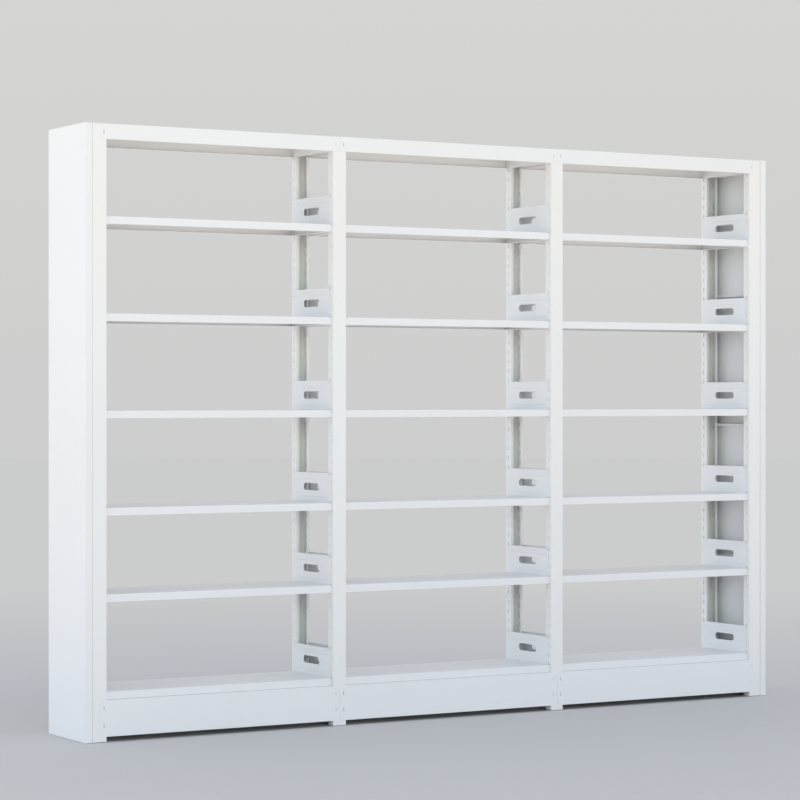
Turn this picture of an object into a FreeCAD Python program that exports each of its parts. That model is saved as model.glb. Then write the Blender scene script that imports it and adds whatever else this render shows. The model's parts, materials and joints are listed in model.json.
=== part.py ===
import FreeCAD, Part
import os

import Sketcher
from FreeCAD import Placement, Rotation, Vector

# Double sided library shelving: three open bays on four upright frames,
# with a folded steel panel on each end. +X runs along the rack, +Y through
# its depth (the front faces -Y) and +Z up. The origin is on the floor,
# under the middle of the rack. Lengths are in millimetres.

bay_count = 3
frame_count = bay_count + 1
level_count = 6

driving_sizes = {
    "bay_pitch": 887,  # from the middle of one frame to the next
    "rack_height": 2000,
    "rack_depth": 300,
    "post_width": 50,
    "post_depth": 35,
    "post_gauge": 1.5,
    "post_lip": 10,
    "post_bend": 2,
    "foot_base": 2,
    "foot_plug": 22,
    "foot_clearance": 0.2,
    "slot_pitch": 35,
    "slot_width": 4,
    "slot_length": 14,
    "slot_setback": 17,  # rack face to the middle of the slot row
    "hook_drop": 3,
    "hook_play": 0.3,  # between a hook's drop and the wall it hangs on
    "hook_pass": 2,  # height to spare when a hook goes through its slot
    "hook_rise": 33,  # shelf surface to the middle of the lower hook's slot
    "slots_below": 4,  # slots under the one that holds the lowest shelf's hook
    "top_clear": 45,  # no slots in this stretch at the head of a post
    "head_room": 240,  # least height between the highest shelf and the fascia
    "level_share": 0.3,  # part of a slot added before a level is rounded down
    "screw_margin": 3,  # slots from either end of the row to a panel screw
    "cover_gauge": 1.2,
    "cover_bend": 2,
    "cover_return": 15,
    "joint_gap": 0.6,  # between two covers that meet in front of a post
    "side_gap": 0.4,  # between a cover's inner parts and a post
    "fascia_drop": 50,
    "fascia_hook_drop": 26.5,  # rack top to the middle of the fascia's hook window
    "window_offset": 15,  # frame middle to the middle of a hook window
    "window_width": 2,
    "window_length": 13,
    "kick_bottom": 18,
    "kick_gap": 0.6,
    "kick_return": 12,
    "kick_hook_low": 55,
    "kick_hook_high": 110,
    "base_level": 162,  # surface of the lowest shelf
    "board_gauge": 1,
    "board_bend": 1.5,
    "board_lip": 25,
    "board_return": 12,
    "board_setback": 10,
    "board_play": 0.6,
    "lip_play": 0.5,  # between the end of a shelf's lip and the post
    "plate_gauge": 1.2,
    "plate_rise": 100,
    "plate_setback": 19,
    "plate_stand": 2,  # between a side plate's sheet and the posts that it hangs on
    "plate_corner": 8,
    "plate_ledge": 20,
    "ledge_inset": 7,
    "bead_radius": 1,  # inside a bead that stiffens a side plate
    "bead_inset": 6,
    "bead_low": 17,
    "bead_top_margin": 23,
    "hand_hole_length": 114,
    "hand_hole_width": 25,
    "hand_hole_rise": 51,
    "panel_depth": 26,
    "panel_return": 21,
    "panel_floor_gap": 1,
    "panel_seam": 0.5,  # between an end panel's returns and the posts
    "tie_width": 40,
    "tie_height": 48,
    "tie_gauge": 2,
    "low_tie_rise": 30,
    "rail_low_rise": 510,
    "rail_head_drop": 496,
    "rail_flange": 25,
    "rail_lip": 8,
    "rail_gauge": 1.2,
    "screw_shank": 3.6,
    "screw_head": 8,
    "screw_head_height": 2.4,
    "screw_hole": 4.2,
    "nut_width": 7,
    "nut_height": 3.2,
    "screw_tip": 1.5,
    "thread_play": 0.05,
}

doc = FreeCAD.newDocument("library_shelving")
sheet = doc.addObject("Spreadsheet::Sheet", "sizes")
for row, (alias, value) in enumerate(driving_sizes.items(), start=1):
    sheet.set(f"A{row}", alias)
    sheet.set(f"B{row}", str(value))
    sheet.setAlias(f"B{row}", alias)
doc.recompute()

# Places that several pieces share, as expressions on the sheet
half_depth = "(sizes.rack_depth / 2)"
half_width = "(sizes.post_width / 2)"
half_pitch = "(sizes.bay_pitch / 2)"
half_bay = f"({half_pitch} - {half_width})"
post_face = f"({half_depth} - sizes.cover_gauge)"
post_head = "(sizes.rack_height - sizes.cover_gauge)"
post_back = f"({post_face} - sizes.post_depth)"
end_post = f"(sizes.bay_pitch * {bay_count} / 2)"
slot_line = f"({half_depth} - sizes.slot_setback)"
slot_start = "(sizes.base_level + sizes.hook_rise - sizes.slots_below * sizes.slot_pitch)"
last_slot = (
    f"floor(({post_head} - sizes.top_clear - {slot_start}) / sizes.slot_pitch)"
)
level_slots = (
    "floor((sizes.rack_height - sizes.fascia_drop - sizes.head_room - sizes.base_level)"
    " / sizes.slot_pitch)"
)
hook_neck = "(sizes.slot_length - sizes.hook_drop - sizes.hook_pass)"
cover_half = f"({half_pitch} - sizes.joint_gap / 2)"
cover_inner = f"({half_bay} - sizes.side_gap)"
hook_plane = "(sizes.window_offset + sizes.window_width / 2)"
web_slot = f"({hook_plane} + sizes.cover_gauge / 2)"
kick_top = "(sizes.base_level - sizes.board_lip - sizes.kick_gap)"
plate_back = f"({half_bay} - sizes.plate_stand)"
board_end = f"({plate_back} - sizes.plate_gauge - sizes.board_play)"
board_side = f"({half_depth} - sizes.board_setback)"
lip_end = f"({half_bay} - sizes.lip_play)"
plate_end = f"({half_depth} - sizes.plate_setback)"
return_back = "(sizes.panel_seam + sizes.cover_gauge)"  # from an end post's side
past = "1"  # how far a cut runs past the surface it opens
side_signs = {"left": "-1", "right": "1"}

parts = []


def number(expression):
    return float(sheet.evalExpression(expression))


def new_body(name):
    return doc.addObject("PartDesign::Body", name)


def origin_feature(body, role):
    return next(item for item in body.Origin.OriginFeatures if item.Role == role)


def block(body, name, corner, opposite, kind="Additive"):
    """A box between two opposite corners, each corner three expressions."""
    box = body.newObject(f"PartDesign::{kind}Box", name)
    for axis, side, start, end in zip("xyz", ("Length", "Width", "Height"), corner, opposite):
        if number(start) > number(end):
            start, end = end, start
        box.setExpression(side, f"({end}) - ({start})")
        box.setExpression(f".Placement.Base.{axis}", start)
    return box


def cut_block(body, name, corner, opposite):
    return block(body, name, corner, opposite, kind="Subtractive")


def bore_along_x(body, name, radius, span, y, z):
    """A round hole along x, from the first to the second place in span."""
    hole = body.newObject("PartDesign::SubtractiveCylinder", name)
    hole.Placement = Placement(Vector(), Rotation(Vector(0, 1, 0), 90))
    hole.setExpression("Radius", radius)
    hole.setExpression("Height", f"({span[1]}) - ({span[0]})")
    for axis, text in zip("xyz", (span[0], y, z)):
        hole.setExpression(f".Placement.Base.{axis}", text)


def sketch_on(body, name, role):
    sketch = body.newObject("Sketcher::SketchObject", name)
    sketch.AttachmentSupport = [(origin_feature(body, role), "")]
    sketch.MapMode = "FlatFace"
    return sketch


def hold_point(sketch, line, end, x_text, y_text):
    """Tie one end of a line to a place given by two expressions."""
    for direction, text in (("DistanceX", x_text), ("DistanceY", y_text)):
        constraint = Sketcher.Constraint(direction, -1, 1, line, end, number(text))
        index = sketch.addConstraint(constraint)
        sketch.setExpression(f"Constraints[{index}]", text)


def outline(sketch, corners):
    """Closed outline of straight lines through corners given as expressions."""
    places = [Vector(number(x), number(y), 0) for x, y in corners]
    count = len(places)
    for index in range(count):
        line = Part.LineSegment(places[index], places[(index + 1) % count])
        sketch.addGeometry(line, False)
    for index in range(count):
        following = (index + 1) % count
        sketch.addConstraint(Sketcher.Constraint("Coincident", index, 2, following, 1))
    for index, (x_text, y_text) in enumerate(corners):
        hold_point(sketch, index, 1, x_text, y_text)


def pad(body, sketch, length):
    feature = body.newObject("PartDesign::Pad", sketch.Name + "_pad")
    feature.Profile = sketch
    feature.setExpression("Length", length)
    return feature


def edges_at(shape, test):
    return [f"Edge{i}" for i, edge in enumerate(shape.Edges, start=1) if test(edge)]


def round_edges(body, name, radius, test):
    """Fillet the edges of the body's tip that pass a test."""
    doc.recompute()
    base = body.Tip
    fillet = body.newObject("PartDesign::Fillet", name)
    fillet.Base = (base, edges_at(base.Shape, test))
    fillet.setExpression("Radius", radius)
    return fillet


def is_near(value, target):
    return abs(value - target) < 0.01


def edge_spans(edge, axis):
    """True for a straight edge along one axis, 0, 1 or 2 for x, y or z."""
    box = edge.BoundBox
    spans = (box.XLength, box.YLength, box.ZLength)
    return is_near(max(spans), spans[axis]) and is_near(sum(spans), spans[axis])


def instance(name, master, x="0", y="0", z="0", turned=False):
    """A placed copy of a master shape, turned half round +Z if asked."""
    copy = doc.addObject("Part::Compound", name)
    copy.Links = master if isinstance(master, list) else [master]
    copy.Placement = Placement(Vector(), Rotation(Vector(0, 0, 1), 180 if turned else 0))
    for axis, text in zip("xyz", (x, y, z)):
        copy.setExpression(f".Placement.Base.{axis}", text)
    return copy


def sub_part(label, master, solids=1, **place):
    node = instance(label, master, **place)
    node.Label = label
    parts.append((node, solids))
    return node


def frame_x(number_from_left):
    return f"(sizes.bay_pitch * {number_from_left - (frame_count - 1) / 2})"


def bay_x(number_from_left):
    return f"(sizes.bay_pitch * {number_from_left - (bay_count - 1) / 2})"


def slot_height(slots_up):
    """Height of a slot's middle above the floor, counted from the lowest slot."""
    return f"({slot_start} + {slots_up} * sizes.slot_pitch)"


def level_height(index):
    """Height of a shelf's surface: whole slots above the lowest, evenly shared out."""
    share = index / (level_count - 1)
    slots_up = f"floor({level_slots} * {share} + sizes.level_share)"
    return f"(sizes.base_level + {slots_up} * sizes.slot_pitch)"


def screw_slots():
    """The slots that take a panel screw, counted from the lowest slot."""
    return (
        "sizes.screw_margin",
        f"floor({last_slot} / 2)",
        f"({last_slot} - sizes.screw_margin)",
    )


def post_master(name, web_slot_sides):
    """Lipped channel, web outwards, slotted down both flanges.

    The web has slots for the covers' hooks on the sides that web_slot_sides names.
    """
    body = new_body(name)
    sketch = sketch_on(body, f"{name}_section", "XY_Plane")
    right = [
        (half_width, "0"),
        (half_width, "sizes.post_depth"),
        (f"{half_width} - sizes.post_lip", "sizes.post_depth"),
        (f"{half_width} - sizes.post_lip", "sizes.post_depth - sizes.post_gauge"),
        (f"{half_width} - sizes.post_gauge", "sizes.post_depth - sizes.post_gauge"),
        (f"{half_width} - sizes.post_gauge", "sizes.post_gauge"),
    ]
    left = [(f"-({x})", y) for x, y in reversed(right)]
    outline(sketch, right + left)
    pad(body, sketch, f"{post_head} - sizes.foot_base")
    corner = number(half_width)
    round_edges(
        body,
        f"{name}_bends",
        "sizes.post_bend",
        lambda edge: edge_spans(edge, 2)
        and is_near(abs(edge.CenterOfMass.x), corner)
        and is_near(edge.CenterOfMass.y, 0),
    )
    heights = {
        "head": "sizes.rack_height - sizes.fascia_hook_drop",
        "kick_low": "sizes.kick_hook_low",
        "kick_high": "sizes.kick_hook_high",
    }
    for level, height in heights.items():
        for side in web_slot_sides:
            middle = f"({side_signs[side]} * {web_slot})"
            cut_block(
                body,
                f"web_slot_{level}_{side}",
                (
                    f"{middle} - sizes.slot_width / 2",
                    "-sizes.post_gauge",
                    f"{height} - sizes.foot_base - sizes.slot_length / 2",
                ),
                (
                    f"{middle} + sizes.slot_width / 2",
                    "2 * sizes.post_gauge",
                    f"{height} - sizes.foot_base + sizes.slot_length / 2",
                ),
            )
    row = f"({post_face} - {slot_line})"
    first = f"({slot_start} - sizes.foot_base)"
    slot = cut_block(
        body,
        "flange_slot",
        (
            "-sizes.post_width",
            f"{row} - sizes.slot_width / 2",
            f"{first} - sizes.slot_length / 2",
        ),
        (
            "sizes.post_width",
            f"{row} + sizes.slot_width / 2",
            f"{first} + sizes.slot_length / 2",
        ),
    )
    doc.recompute()
    pattern = body.newObject("PartDesign::LinearPattern", "flange_slots")
    pattern.Originals = [slot]
    pattern.Direction = (origin_feature(body, "Z_Axis"), [""])
    pattern.setExpression("Length", f"sizes.slot_pitch * {last_slot}")
    pattern.setExpression("Occurrences", f"{last_slot} + 1")
    body.Tip = pattern
    return body


def foot_master():
    """Plastic cap under a post, with a plug inside the channel."""
    body = new_body("foot")
    wall = "(sizes.post_gauge + sizes.foot_clearance)"
    block(
        body,
        "foot_pad",
        (f"-{half_width}", "0", "0"),
        (half_width, "sizes.post_depth", "sizes.foot_base"),
    )
    block(
        body,
        "foot_plug_block",
        (f"-{half_width} + {wall}", wall, "sizes.foot_base / 2"),
        (f"{half_width} - {wall}", f"sizes.post_depth - {wall}", "sizes.foot_base + sizes.foot_plug"),
    )
    return body


def tie_master():
    """Channel, open downwards, from one post's lips to the other's."""
    body = new_body("tie")
    sketch = sketch_on(body, "tie_section", "XZ_Plane")
    right = [
        ("sizes.tie_width / 2", "0"),
        ("sizes.tie_width / 2", "-sizes.tie_height"),
        ("sizes.tie_width / 2 - sizes.tie_gauge", "-sizes.tie_height"),
        ("sizes.tie_width / 2 - sizes.tie_gauge", "-sizes.tie_gauge"),
    ]
    left = [(f"-({x})", y) for x, y in reversed(right)]
    outline(sketch, right + left)
    feature = pad(body, sketch, f"2 * {post_back}")
    feature.Midplane = True
    return body


def hook(body, name, blade, wall, seat, along_x):
    """A hook through a slot: a neck on the slot's lower edge and a drop behind the wall.

    blade holds the two faces of the hook's sheet, wall where the neck starts, where
    the slotted wall ends and the sign of that direction, and seat the height of the
    slot's lower edge. The hook runs along x, or otherwise along y.
    """
    start, wall_end, sign = wall
    tail_start = f"({wall_end} + {sign} * sizes.hook_play)"
    tail_end = f"({tail_start} + {sign} * sizes.plate_gauge)"
    top = f"{seat} + {hook_neck}"
    for piece, near, low in (
        ("neck", start, seat),
        ("drop", tail_start, f"{seat} - sizes.hook_drop"),
    ):
        if along_x:
            block(body, f"{name}_{piece}", (near, blade[0], low), (tail_end, blade[1], top))
        else:
            block(body, f"{name}_{piece}", (blade[0], near, low), (blade[1], tail_end, top))


def cover_hooks(body, name, height, facing):
    """Hook windows and hooks at both ends of a cover.

    height is the middle of the window in the body's own frame, and facing is "-1"
    for a cover at the front of the rack or "1" for one at the rear.
    """
    outer = f"({facing} * {half_depth})"
    inner = f"({facing} * {post_face})"
    wall_end = f"({facing} * ({post_face} - sizes.post_gauge))"
    inward = "1" if facing == "-1" else "-1"
    for side, sign in side_signs.items():
        window = f"({sign} * ({half_pitch} - sizes.window_offset))"
        cut_block(
            body,
            f"{name}_window_{side}",
            (
                f"{window} - sizes.window_width / 2",
                f"{outer} + {facing} * sizes.cover_gauge",
                f"{height} - sizes.window_length / 2",
            ),
            (
                f"{window} + sizes.window_width / 2",
                f"{inner} - {facing} * sizes.cover_gauge",
                f"{height} + sizes.window_length / 2",
            ),
        )
        blade = f"({sign} * ({half_pitch} - {web_slot}))"
        hook(
            body,
            f"{name}_hook_{side}",
            (f"{blade} - sizes.plate_gauge / 2", f"{blade} + sizes.plate_gauge / 2"),
            (f"{facing} * ({half_depth} - sizes.cover_gauge / 2)", wall_end, inward),
            f"({height} - sizes.slot_length / 2)",
            False,
        )


def top_board_master():
    """Folded top with a fascia on both faces and a lip beside each frame."""
    body = new_body("top_board")
    gauge = "sizes.cover_gauge"
    block(
        body,
        "top_block",
        (f"-{cover_half}", f"-{half_depth}", "-sizes.fascia_drop"),
        (cover_half, half_depth, "0"),
    )
    depth = number(half_depth)
    round_edges(
        body,
        "top_bends",
        "sizes.cover_bend",
        lambda edge: edge_spans(edge, 0)
        and is_near(abs(edge.CenterOfMass.y), depth)
        and is_near(edge.CenterOfMass.z, 0),
    )
    cut_block(
        body,
        "top_cavity",
        (f"-{cover_inner} + {gauge}", f"-{post_face}", f"-sizes.fascia_drop + {gauge}"),
        (f"{cover_inner} - {gauge}", post_face, f"-{gauge}"),
    )
    cut_block(
        body,
        "top_mouth",
        (
            f"-{cover_inner} + {gauge}",
            f"-{half_depth} + sizes.cover_return",
            "-2 * sizes.fascia_drop",
        ),
        (f"{cover_inner} - {gauge}", f"{half_depth} - sizes.cover_return", f"-{gauge}"),
    )
    for side, low, high in (
        ("left", f"-{half_pitch} - {gauge}", f"-{cover_inner}"),
        ("right", cover_inner, f"{half_pitch} + {gauge}"),
    ):
        cut_block(
            body,
            f"post_room_{side}",
            (low, f"-{post_face}", "-2 * sizes.fascia_drop"),
            (high, post_face, f"-{gauge}"),
        )
    for name, facing in (("front", "-1"), ("rear", "1")):
        cover_hooks(body, name, "(-sizes.fascia_hook_drop)", facing)
    return body


def kick_plate_master():
    """Front kick plate with a return along its top and bottom edges."""
    body = new_body("kick_plate")
    block(
        body,
        "kick_face",
        (f"-{cover_half}", f"-{half_depth}", "sizes.kick_bottom"),
        (cover_half, f"-{post_face}", kick_top),
    )
    for edge, low, high in (
        ("bottom", "sizes.kick_bottom", "sizes.kick_bottom + sizes.cover_gauge"),
        ("top", f"{kick_top} - sizes.cover_gauge", kick_top),
    ):
        block(
            body,
            f"kick_return_{edge}",
            (f"-{cover_inner}", f"-{half_depth} + sizes.cover_gauge / 2", low),
            (cover_inner, f"-{half_depth} + sizes.kick_return", high),
        )
    for name, height in (("low", "sizes.kick_hook_low"), ("high", "sizes.kick_hook_high")):
        cover_hooks(body, name, height, "-1")
    return body


def board_master():
    """Shelf board: a folded tray with a return along the foot of every lip.

    The front and rear lips run on past the side plates, nearly to the posts.
    """
    body = new_body("board")
    gauge = "sizes.board_gauge"
    block(
        body,
        "board_block",
        (f"-{board_end}", f"-{board_side}", "-sizes.board_lip"),
        (board_end, board_side, "0"),
    )
    for name, sign in (("front", "-1"), ("rear", "1")):
        block(
            body,
            f"board_lip_{name}",
            (f"-{lip_end}", f"{sign} * {board_side}", "-sizes.board_lip"),
            (lip_end, f"{sign} * ({board_side} - {gauge})", "-sizes.board_bend"),
        )
    side = number(board_side)
    round_edges(
        body,
        "board_bends",
        "sizes.board_bend",
        lambda edge: edge_spans(edge, 0)
        and is_near(abs(edge.CenterOfMass.y), side)
        and is_near(edge.CenterOfMass.z, 0),
    )
    cut_block(
        body,
        "board_cavity",
        (f"-{board_end} + {gauge}", f"-{board_side} + {gauge}", f"-sizes.board_lip + {gauge}"),
        (f"{board_end} - {gauge}", f"{board_side} - {gauge}", f"-{gauge}"),
    )
    cut_block(
        body,
        "board_mouth",
        (
            f"-{board_end} + sizes.board_return",
            f"-{board_side} + sizes.board_return",
            "-2 * sizes.board_lip",
        ),
        (
            f"{board_end} - sizes.board_return",
            f"{board_side} - sizes.board_return",
            f"-{gauge}",
        ),
    )
    return body


def bead(body, name, half_length, z):
    """A rib pressed into a side plate along y: a groove in front, a ridge behind."""
    turn = Rotation(Vector(1, 0, 0), -90).multiply(Rotation(Vector(0, 0, 1), -90))
    for kind, side, radius, reach, angle in (
        (
            "Additive",
            "ridge",
            "sizes.bead_radius + sizes.plate_gauge",
            f"({half_length} + sizes.plate_gauge)",
            180,
        ),
        ("Subtractive", "groove", "sizes.bead_radius", half_length, 360),
    ):
        rod = body.newObject(f"PartDesign::{kind}Cylinder", f"{name}_{side}")
        rod.Placement = Placement(Vector(), turn)
        rod.Angle = angle
        rod.setExpression("Radius", radius)
        rod.setExpression("Height", f"2 * {reach}")
        for axis, text in zip("xyz", ("-sizes.plate_gauge", f"-{reach}", z)):
            rod.setExpression(f".Placement.Base.{axis}", text)


def side_plate_master():
    """Right-hand side plate: x = 0 is the sheet's outer side, z = 0 the shelf's surface.

    A return along each end closes the gap to the post and carries the hooks' ears.
    """
    body = new_body("side_plate")
    gauge = "sizes.plate_gauge"
    foot = f"(sizes.board_lip + {gauge})"
    sketch = sketch_on(body, "plate_outline", "YZ_Plane")
    right = [
        (plate_end, f"-{foot}"),
        (plate_end, "sizes.plate_rise - sizes.plate_corner"),
        (f"{plate_end} - sizes.plate_corner", "sizes.plate_rise"),
    ]
    left = [(f"-({x})", y) for x, y in reversed(right)]
    outline(sketch, right + left)
    feature = pad(body, sketch, gauge)
    feature.Reversed = True
    ledge_end = f"({plate_end} - sizes.ledge_inset)"
    block(
        body,
        "ledge",
        (f"-{gauge} / 2", f"-{ledge_end}", f"-{foot}"),
        (f"-{gauge} - sizes.plate_ledge", ledge_end, f"-{foot} + {gauge}"),
    )
    bead_end = f"({plate_end} - sizes.bead_inset)"
    bead(body, "low_bead", bead_end, "sizes.bead_low")
    bead(body, "high_bead", bead_end, "sizes.plate_rise - sizes.bead_top_margin")
    straight = "(sizes.hand_hole_length - sizes.hand_hole_width) / 2"
    through = (f"(-{gauge} - {past})", past)
    cut_block(
        body,
        "hand_hole",
        (through[0], f"-{straight}", "sizes.hand_hole_rise - sizes.hand_hole_width / 2"),
        (through[1], straight, "sizes.hand_hole_rise + sizes.hand_hole_width / 2"),
    )
    for side, sign in (("front", "-1"), ("rear", "1")):
        bend = f"{sign} * ({plate_end} - {gauge})"
        block(
            body,
            f"return_{side}",
            (f"-{gauge} / 2", bend, f"-{foot}"),
            ("sizes.plate_stand", f"{sign} * {plate_end}", "sizes.plate_rise - sizes.plate_corner"),
        )
        bore_along_x(
            body,
            f"hand_hole_{side}",
            "sizes.hand_hole_width / 2",
            through,
            f"{sign} * {straight}",
            "sizes.hand_hole_rise",
        )
        for level, slots_up in (("low", 0), ("high", 1)):
            middle = f"(sizes.hook_rise + {slots_up} * sizes.slot_pitch)"
            seat = f"({middle} - sizes.slot_length / 2)"
            ear_top = f"{seat} + {hook_neck}"
            row = f"({sign} * {slot_line})"
            block(
                body,
                f"ear_{side}_{level}",
                (f"sizes.plate_stand - {gauge}", bend, seat),
                ("sizes.plate_stand", f"{row} + {sign} * {gauge} / 2", ear_top),
            )
            hook(
                body,
                f"{side}_{level}",
                (f"{row} - {gauge} / 2", f"{row} + {gauge} / 2"),
                (f"sizes.plate_stand - {gauge} / 2", "(sizes.plate_stand + sizes.post_gauge)", "1"),
                seat,
                True,
            )
    return body


def end_panel_master():
    """Right-hand end panel: x = 0 is the outer side of the end post."""
    body = new_body("end_panel")
    gauge = "sizes.cover_gauge"
    block(
        body,
        "panel_block",
        ("sizes.panel_seam", f"-{half_depth}", "sizes.panel_floor_gap"),
        ("sizes.panel_depth", half_depth, "sizes.rack_height"),
    )
    round_edges(body, "panel_bends", "sizes.cover_bend", lambda edge: edge_spans(edge, 2))
    low = f"(sizes.panel_floor_gap + {gauge})"
    cut_block(
        body,
        "panel_cavity",
        (return_back, f"-{post_face}", low),
        (f"sizes.panel_depth - {gauge}", post_face, post_head),
    )
    mouth = f"({half_depth} - sizes.panel_return)"
    cut_block(
        body,
        "panel_mouth",
        (f"-{past}", f"-{mouth}", low),
        (f"sizes.panel_depth - {gauge}", mouth, post_head),
    )
    block(
        body,
        "head_flange",
        (f"-{half_width} + sizes.joint_gap / 2", f"-{half_depth}", post_head),
        (return_back, half_depth, "sizes.rack_height"),
    )
    for side, sign in (("front", "-1"), ("rear", "1")):
        for index, slots_up in enumerate(screw_slots()):
            bore_along_x(
                body,
                f"screw_hole_{side}_{index + 1}",
                "sizes.screw_hole / 2",
                (f"-{past}", f"{return_back} + {past}"),
                f"{sign} * {slot_line}",
                slot_height(slots_up),
            )
    return body


def rail_master(flipped):
    """Rail across the right-hand panel, its lip turned up, or down if flipped."""
    body = new_body("rail_down" if flipped else "rail_up")
    gauge = "sizes.rail_gauge"
    sign = "-1" if flipped else "1"
    near = return_back
    far = "(sizes.panel_depth - sizes.cover_gauge)"
    sketch = sketch_on(body, body.Name + "_section", "XZ_Plane")
    corners = [
        (near, "0"),
        (far, "0"),
        (far, f"{sign} * sizes.rail_flange"),
        (f"{far} - {gauge}", f"{sign} * sizes.rail_flange"),
        (f"{far} - {gauge}", f"{sign} * {gauge}"),
        (f"{near} + {gauge}", f"{sign} * {gauge}"),
        (f"{near} + {gauge}", f"{sign} * sizes.rail_lip"),
        (near, f"{sign} * sizes.rail_lip"),
    ]
    outline(sketch, corners)
    feature = pad(body, sketch, f"2 * {post_face}")
    feature.Midplane = True
    return body


def screw_master():
    """Pan head screw along +x: its head bears on the inside of the post's flange."""
    body = new_body("screw")
    sketch = sketch_on(body, "screw_section", "XY_Plane")
    bearing = "(-sizes.post_gauge)"
    tip = f"({return_back} + sizes.nut_height + sizes.screw_tip)"
    corners = [
        (f"{bearing} - sizes.screw_head_height", "0"),
        (tip, "0"),
        (tip, "sizes.screw_shank / 2"),
        (bearing, "sizes.screw_shank / 2"),
        (bearing, "sizes.screw_head / 2"),
        (f"{bearing} - sizes.screw_head_height / 2", "sizes.screw_head / 2"),
        (f"{bearing} - sizes.screw_head_height", "sizes.screw_head / 3"),
    ]
    outline(sketch, corners)
    turn = body.newObject("PartDesign::Revolution", "screw_turn")
    turn.Profile = sketch
    turn.ReferenceAxis = (origin_feature(body, "X_Axis"), [""])
    turn.Angle = 360
    return body


def nut_master():
    """Hexagon nut behind the panel's return."""
    body = new_body("nut")
    sketch = sketch_on(body, "nut_section", "YZ_Plane")
    corner_radius = "(sizes.nut_width / sqrt(3))"
    corners = [
        (f"{corner_radius} * cos({60 * i} deg)", f"{corner_radius} * sin({60 * i} deg)")
        for i in range(6)
    ]
    outline(sketch, corners)
    pad(body, sketch, f"{return_back} + sizes.nut_height")
    cut_block(
        body,
        "nut_seat",
        (f"-{past}", "-sizes.nut_width", "-sizes.nut_width"),
        (return_back, "sizes.nut_width", "sizes.nut_width"),
    )
    bore_along_x(
        body,
        "nut_thread",
        "sizes.screw_shank / 2 + sizes.thread_play",
        ("0", f"{return_back} + sizes.nut_height + {past}"),
        "0",
        "0",
    )
    return body


def bay_side(frame, turned):
    """The side of an end post's web that its bay is on, in the post's own frame."""
    return "left" if (frame == 0) == turned else "right"


def make_frames():
    middle_post = post_master("post", ("left", "right"))
    end_posts = {side: post_master(f"end_post_{side}", (side,)) for side in side_signs}
    foot = foot_master()
    tie = tie_master()
    feet = []
    ties = []
    for index in range(frame_count):
        x = frame_x(index)
        at_end = index in (0, frame_count - 1)
        for side, y, turned in (("front", f"-{post_face}", False), ("rear", post_face, True)):
            post = end_posts[bay_side(index, turned)] if at_end else middle_post
            sub_part(f"post_{index + 1}_{side}", post, x=x, y=y, z="sizes.foot_base", turned=turned)
            feet.append(instance(f"foot_{index + 1}_{side}", foot, x=x, y=y, turned=turned))
        low = "sizes.low_tie_rise + sizes.tie_height"
        for level, z in (("low", low), ("head", post_head)):
            ties.append(instance(f"tie_{index + 1}_{level}", tie, x=x, z=z))
    sub_part("post_feet", feet, solids=len(feet))
    sub_part("frame_ties", ties, solids=len(ties))


def make_bays():
    top_board = top_board_master()
    kick_plate = kick_plate_master()
    board = board_master()
    plate = side_plate_master()
    plate_pair = [
        instance("plate_right", plate, x=plate_back),
        instance("plate_left", plate, x=f"-{plate_back}", turned=True),
    ]
    for bay in range(bay_count):
        x = bay_x(bay)
        sub_part(f"top_board_{bay + 1}", top_board, x=x, z="sizes.rack_height")
        sub_part(f"kick_plate_bay{bay + 1}_front", kick_plate, x=x)
        sub_part(f"kick_plate_bay{bay + 1}_rear", kick_plate, x=x, turned=True)
        for level in range(level_count):
            z = level_height(level)
            name = f"bay{bay + 1}_level{level + 1}"
            sub_part(f"shelf_{name}", board, x=x, z=z)
            sub_part(f"side_plates_{name}", plate_pair, solids=2, x=x, z=z)


def make_ends():
    panel = end_panel_master()
    rail_masters = {flipped: rail_master(flipped) for flipped in (False, True)}
    screw = screw_master()
    nut = nut_master()
    rails = []
    screws = []
    nuts = []
    face = f"({end_post} + {half_width})"
    low = "sizes.rail_low_rise"
    high = "(sizes.rack_height - sizes.rail_head_drop)"
    rail_places = {
        "low": (low, False),
        "middle": (f"({low} + {high}) / 2", False),
        "high": (high, True),  # its lip is turned down
    }
    for end, sign, turned in (("left", "-1", True), ("right", "1", False)):
        x = f"{sign} * {face}"
        sub_part(f"end_panel_{end}", panel, x=x, turned=turned)
        for level, (z, flipped) in rail_places.items():
            master = rail_masters[flipped]
            rails.append(instance(f"rail_{end}_{level}", master, x=x, z=z, turned=turned))
        for side, row in (("front", f"-{slot_line}"), ("rear", slot_line)):
            for index, slots_up in enumerate(screw_slots()):
                name = f"{end}_{side}_{index + 1}"
                place = {"x": x, "y": row, "z": slot_height(slots_up), "turned": turned}
                screws.append(instance(f"screw_{name}", screw, **place))
                nuts.append(instance(f"nut_{name}", nut, **place))
    sub_part("panel_rails", rails, solids=len(rails))
    sub_part("panel_screws", screws, solids=len(screws))
    sub_part("panel_nuts", nuts, solids=len(nuts))


def check_model():
    for item in doc.Objects:
        if "Invalid" in item.State or "Error" in item.State:
            raise RuntimeError(f"{item.Label} failed: {item.State}")
    for node, solids in parts:
        shape = node.Shape
        if shape.isNull() or not shape.isValid():
            raise RuntimeError(f"{node.Label} has no valid shape")
        if len(shape.Solids) != solids:
            raise RuntimeError(f"{node.Label} has {len(shape.Solids)} solids, not {solids}")


make_frames()
make_bays()
make_ends()
doc.recompute()
check_model()
os.makedirs("parts", exist_ok=True)
for node, _ in parts:
    node.Shape.exportStep(f"parts/{node.Label}.step")
print(len(parts), "parts written")
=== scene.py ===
import json
import math

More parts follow.
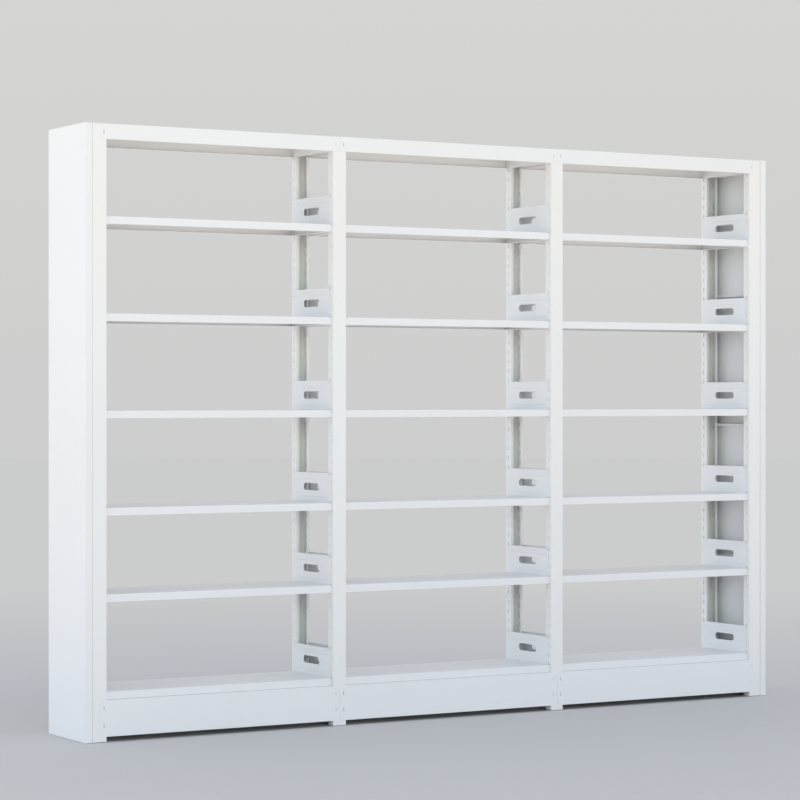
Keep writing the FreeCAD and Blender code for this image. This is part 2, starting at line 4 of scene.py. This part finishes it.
import bpy
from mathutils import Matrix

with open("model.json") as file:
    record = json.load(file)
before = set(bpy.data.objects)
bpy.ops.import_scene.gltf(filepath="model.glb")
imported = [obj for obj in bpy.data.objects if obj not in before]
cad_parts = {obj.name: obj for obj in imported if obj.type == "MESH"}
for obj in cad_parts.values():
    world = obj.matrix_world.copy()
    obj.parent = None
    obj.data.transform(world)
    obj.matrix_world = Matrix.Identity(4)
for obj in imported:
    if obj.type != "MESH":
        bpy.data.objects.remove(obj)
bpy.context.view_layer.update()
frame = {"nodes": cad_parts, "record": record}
scene = bpy.context.scene
print("frame loaded:", len(frame["nodes"]), "nodes")


# an output socket that takes part in sums
class Value:
    def __init__(self, shader, socket):
        self.shader = shader
        self.socket = socket

    def beside(self, name):
        return Value(self.shader, self.shader.find(self.socket.node.outputs, name))

    def __add__(self, other):
        return self.shader.combine("ADD", self, other)

    def __sub__(self, other):
        return self.shader.combine("SUBTRACT", self, other)

    def __mul__(self, other):
        return self.shader.combine("MULTIPLY", self, other)

    __radd__ = __add__


# a node tree, built with one call for each node
class Shader:
    def __init__(self, owner):
        owner.use_nodes = True
        self.tree = owner.node_tree
        self.tree.nodes.clear()

    def node(self, kind, settings, inputs, output=0):
        made = self.tree.nodes.new(kind)
        for key, value in settings.items():
            setattr(made, key, value)
        for key, value in inputs.items():
            socket = self.find(made.inputs, key)
            if isinstance(value, Value):
                self.tree.links.new(value.socket, socket)
            else:
                socket.default_value = value
        return Value(self, self.find(made.outputs, output)) if made.outputs else None

    def find(self, sockets, key):
        if isinstance(key, int):
            return sockets[key]
        return next(s for s in sockets if key in (s.identifier, s.name))

    def combine(self, operation, first, second):
        return self.node("ShaderNodeMath", {"operation": operation}, {0: first, 1: second})

    def vector(self, operation, inputs, output="Vector"):
        return self.node("ShaderNodeVectorMath", {"operation": operation}, inputs, output)

    def place(self, kind="Object"):
        return self.node("ShaderNodeTexCoord", {}, {}, kind)

    def noise(self, place, scale, detail):
        sizes = {"Vector": place, "Scale": scale, "Detail": detail}
        return self.node("ShaderNodeTexNoise", {}, sizes, "Fac")

    def mix(self, share, first, second):
        inputs = {"Factor_Float": share, "A_Color": rgba(first), "B_Color": rgba(second)}
        return self.node("ShaderNodeMix", {"data_type": "RGBA"}, inputs, "Result_Color")

    def share(self, value, low, high):
        inputs = {"Value": value, "From Min": low, "From Max": high}
        inputs.update({"To Min": 0.0, "To Max": 1.0})
        return self.node("ShaderNodeMapRange", {"clamp": True}, inputs, "Result")

    def bump(self, height):
        return self.node("ShaderNodeBump", {}, {"Distance": 1.0, "Height": height}, "Normal")

    def principled(self, inputs):
        return self.node("ShaderNodeBsdfPrincipled", {}, inputs)

    def mixShader(self, share, first, second):
        return self.node("ShaderNodeMixShader", {}, {0: share, 1: first, 2: second})

    def finish(self, kind, surface):
        self.node(kind, {}, {"Surface": surface})


def rgba(colour):
    return (*colour, 1.0)


# camera

view = {
    "place": (-4.8585, -8.054, 1.112),
    "yaw": 30.478,  # degrees to the right of straight ahead
    "tilt": -0.039,  # degrees up
    "lens": 119.99,
    "sensor": 36,
}


def addCamera(settings):
    bpy.ops.object.camera_add(location=settings["place"])
    camera = bpy.context.object
    camera.name = "camera"
    camera.rotation_euler = (
        math.radians(90 + settings["tilt"]),
        0,
        math.radians(-settings["yaw"]),
    )
    camera.data.lens = settings["lens"]
    camera.data.sensor_width = settings["sensor"]
    scene.camera = camera


addCamera(view)
print("camera placed")

# studio: background, floor and lights

wall = {
    "top": (0.665, 0.665, 0.652),
    "low": (0.600, 0.604, 0.604),
    "lowHeight": -0.05,  # height of a unit ray where low begins to turn into top
    "topHeight": 0.14,
}

# soft light from each side of the studio: the way towards it, its colour, and
# how closely it keeps to that way
dome = {
    "left": {"way": (-1, 0, 0), "light": (1.28, 1.44, 1.67), "focus": 2.0},
    "right": {"way": (1, 0, 0), "light": (0.40, 0.48, 0.60), "focus": 2.0},
    "back": {"way": (0, 1, 0), "light": (0.80, 0.78, 0.70), "focus": 2.0},
    "above": {"way": (0, 0, 1), "light": (0.62, 0.64, 0.70), "focus": 2.0},
    "highRight": {"way": (0.6, -0.7, 0.387), "light": (0.90, 0.88, 1.00), "focus": 4.0},
}

# the near floor is painted and the far floor glows, each with one colour for the
# camera and another for the light that it gives back to the rack
ground = {
    "radius": 40.0,
    "sides": 96,
    "sink": 0.0002,
    "nearSeen": (0.62, 0.62, 0.62),
    "nearGiven": (0.74, 0.74, 0.74),
    "farSeen": wall["low"],
    "farGiven": (1.45, 1.28, 1.09),
    "nearEnd": 1.6,
    "farStart": 6.5,
    "roughness": 0.7,
}

lamps = {
    "window": {
        "place": (-4.4, -10.3, 2.9),
        "aim": (0, 0, 1.0),
        "size": 3.4,
        "colour": (0.845, 1.0, 0.885),
        "watts": 200,
    },
}


def seenDirectly(shader):
    camera = shader.node("ShaderNodeLightPath", {}, {}, "Is Camera Ray")
    return camera + camera.beside("Is Glossy Ray") + camera.beside("Is Transmission Ray")


def makeWorld(background, sides):
    world = bpy.data.worlds.new("studioWorld")
    scene.world = world
    shader = Shader(world)
    direction = shader.place("Generated")
    height = shader.node("ShaderNodeSeparateXYZ", {}, {0: direction}, "Z")
    rise = shader.share(height, background["lowHeight"], background["topHeight"])
    colour = shader.mix(rise, background["low"], background["top"])
    seen = shader.node("ShaderNodeBackground", {}, {"Color": colour})
    total = (0, 0, 0)
    for side in sides.values():
        along = shader.vector("DOT_PRODUCT", {0: direction, 1: side["way"]}, "Value")
        facing = shader.combine("MAXIMUM", along, 0.0)
        lobe = shader.combine("POWER", facing, side["focus"])
        part = shader.vector("SCALE", {0: side["light"], "Scale": lobe})
        total = shader.vector("ADD", {0: total, 1: part})
    light = shader.node("ShaderNodeBackground", {}, {"Color": total})
    mixed = shader.mixShader(seenDirectly(shader), light, seen)
    shader.finish("ShaderNodeOutputWorld", mixed)


def makeFloor(settings):
    bpy.ops.object.select_all(action="DESELECT")
    bpy.ops.mesh.primitive_circle_add(
        vertices=settings["sides"],
        radius=settings["radius"],
        fill_type="NGON",
        location=(0, 0, -settings["sink"]),
    )
    floor = bpy.context.object
    floor.name = "floor"
    material = bpy.data.materials.new("paleFloor")
    shader = Shader(material)
    reach = shader.vector("LENGTH", {0: shader.place()}, "Value")
    far = shader.share(reach, settings["nearEnd"], settings["farStart"])
    camera = shader.node("ShaderNodeLightPath", {}, {}, "Is Camera Ray")
    tone = shader.mix(camera, settings["nearGiven"], settings["nearSeen"])
    paint = shader.principled({"Base Color": tone, "Roughness": settings["roughness"]})
    tint = shader.mix(camera, settings["farGiven"], settings["farSeen"])
    glow = shader.node("ShaderNodeEmission", {}, {"Color": tint})
    shader.finish("ShaderNodeOutputMaterial", shader.mixShader(far, paint, glow))
    floor.data.materials.append(material)


def addLamp(name, settings):
    bpy.ops.object.light_add(type="AREA", location=settings["place"])
    lamp = bpy.context.object
    lamp.name = name
    lamp.data.shape = "DISK"
    lamp.data.size = settings["size"]
    lamp.data.color = settings["colour"]
    lamp.data.energy = settings["watts"]
    aim = [goal - start for goal, start in zip(settings["aim"], settings["place"])]
    flat = math.hypot(aim[0], aim[1])
    lamp.rotation_euler = (
        math.atan2(flat, -aim[2]),
        0,
        math.atan2(aim[1], aim[0]) - math.pi / 2,
    )


makeWorld(wall, dome)
makeFloor(ground)
for name, settings in lamps.items():
    addLamp(name, settings)
scene.view_settings.view_transform = "Standard"
print("studio ready")

# finishes

paints = {
    "post_paint": {"colour": (0.885, 0.885, 0.876), "roughness": 0.42},
    "cover_paint": {"colour": (0.870, 0.878, 0.882), "roughness": 0.42},
    "board_paint": {"colour": (0.865, 0.875, 0.888), "roughness": 0.44},
    "plate_paint": {"colour": (0.855, 0.868, 0.885), "roughness": 0.44},
    "panel_paint": {"colour": (0.868, 0.876, 0.882), "roughness": 0.54},
    "frame_paint": {"colour": (0.850, 0.855, 0.855), "roughness": 0.46},
}

# powder coat: a slow drift of tone, orange peel and a fine grain; heights in metres
coat = {
    "middle": 0.5,  # of any noise
    "driftScale": 1.6,
    "driftDetail": 3,
    "driftLow": 0.35,
    "driftHigh": 0.65,
    "driftShade": 0.985,
    "driftRoughness": 0.08,
    "peelScale": 420.0,
    "peelDetail": 1.5,
    "peelRoughness": 0.10,
    "peelHeight": 0.000022,
    "grainScale": 2600.0,
    "grainDetail": 1,
    "grainHeight": 0.000006,
}

plastic = {
    "colour": (0.30, 0.30, 0.30),
    "roughness": 0.5,
    "grainScale": 900.0,
    "grainDetail": 2,
    "grainRoughness": 0.1,
    "grainHeight": 0.00002,
}

zinc = {
    "dark": (0.58, 0.59, 0.60),
    "light": (0.70, 0.70, 0.68),
    "roughness": 0.25,
    "cloudScale": 300.0,
    "cloudDetail": 3,
    "cloudRoughness": 0.2,
}


def powderCoat(shader, paint):
    place = shader.place()
    drift = shader.noise(place, coat["driftScale"], coat["driftDetail"])
    peel = shader.noise(place, coat["peelScale"], coat["peelDetail"])
    grain = shader.noise(place, coat["grainScale"], coat["grainDetail"])
    tone = shader.share(drift, coat["driftLow"], coat["driftHigh"])
    dark = [channel * coat["driftShade"] for channel in paint["colour"]]
    driftRough = (drift - coat["middle"]) * coat["driftRoughness"]
    peelRough = (peel - coat["middle"]) * coat["peelRoughness"]
    height = peel * coat["peelHeight"] + grain * coat["grainHeight"]
    return {
        "Base Color": shader.mix(tone, dark, paint["colour"]),
        "Roughness": paint["roughness"] + driftRough + peelRough,
        "Normal": shader.bump(height),
    }


def mouldedPlastic(shader, settings):
    grain = shader.noise(shader.place(), settings["grainScale"], settings["grainDetail"])
    return {
        "Base Color": rgba(settings["colour"]),
        "Roughness": settings["roughness"] + grain * settings["grainRoughness"],
        "Normal": shader.bump(grain * settings["grainHeight"]),
    }


def zincPlate(shader, settings):
    cloud = shader.noise(shader.place(), settings["cloudScale"], settings["cloudDetail"])
    return {
        "Base Color": shader.mix(cloud, settings["dark"], settings["light"]),
        "Roughness": settings["roughness"] + cloud * settings["cloudRoughness"],
        "Metallic": 1.0,
    }


def makeMaterial(name, recipe, settings):
    material = bpy.data.materials.new(name)
    shader = Shader(material)
    surface = shader.principled(recipe(shader, settings))
    shader.finish("ShaderNodeOutputMaterial", surface)
    return material


materials = {
    slot: makeMaterial(slot + "_coat", powderCoat, paint) for slot, paint in paints.items()
}
materials["foot_plastic"] = makeMaterial("foot_plastic_moulded", mouldedPlastic, plastic)
materials["zinc_steel"] = makeMaterial("zinc_steel_plate", zincPlate, zinc)

# rounding of every fold and cut edge: lengths in metres, angles in degrees
edges = {
    "weldReach": 0.00001,
    "flatAngle": 1.0,
    "bendAngle": 32.0,
    "round": 0.0004,
    "steps": 2,
}


def finishNode(node, slot):
    node.data.materials[0] = materials[slot]
    weld = node.modifiers.new("weld", "WELD")
    weld.merge_threshold = edges["weldReach"]
    flat = node.modifiers.new("flat", "DECIMATE")
    flat.decimate_type = "DISSOLVE"
    flat.angle_limit = math.radians(edges["flatAngle"])
    bevel = node.modifiers.new("softEdges", "BEVEL")
    bevel.width = edges["round"]
    bevel.segments = edges["steps"]
    bevel.limit_method = "ANGLE"
    bevel.angle_limit = math.radians(edges["bendAngle"])
    bevel.use_clamp_overlap = True
    bevel.harden_normals = True


for subpart in frame["record"]["subparts"]:
    finishNode(frame["nodes"][subpart["node"]], subpart["material_slot"])
print("finishes on")
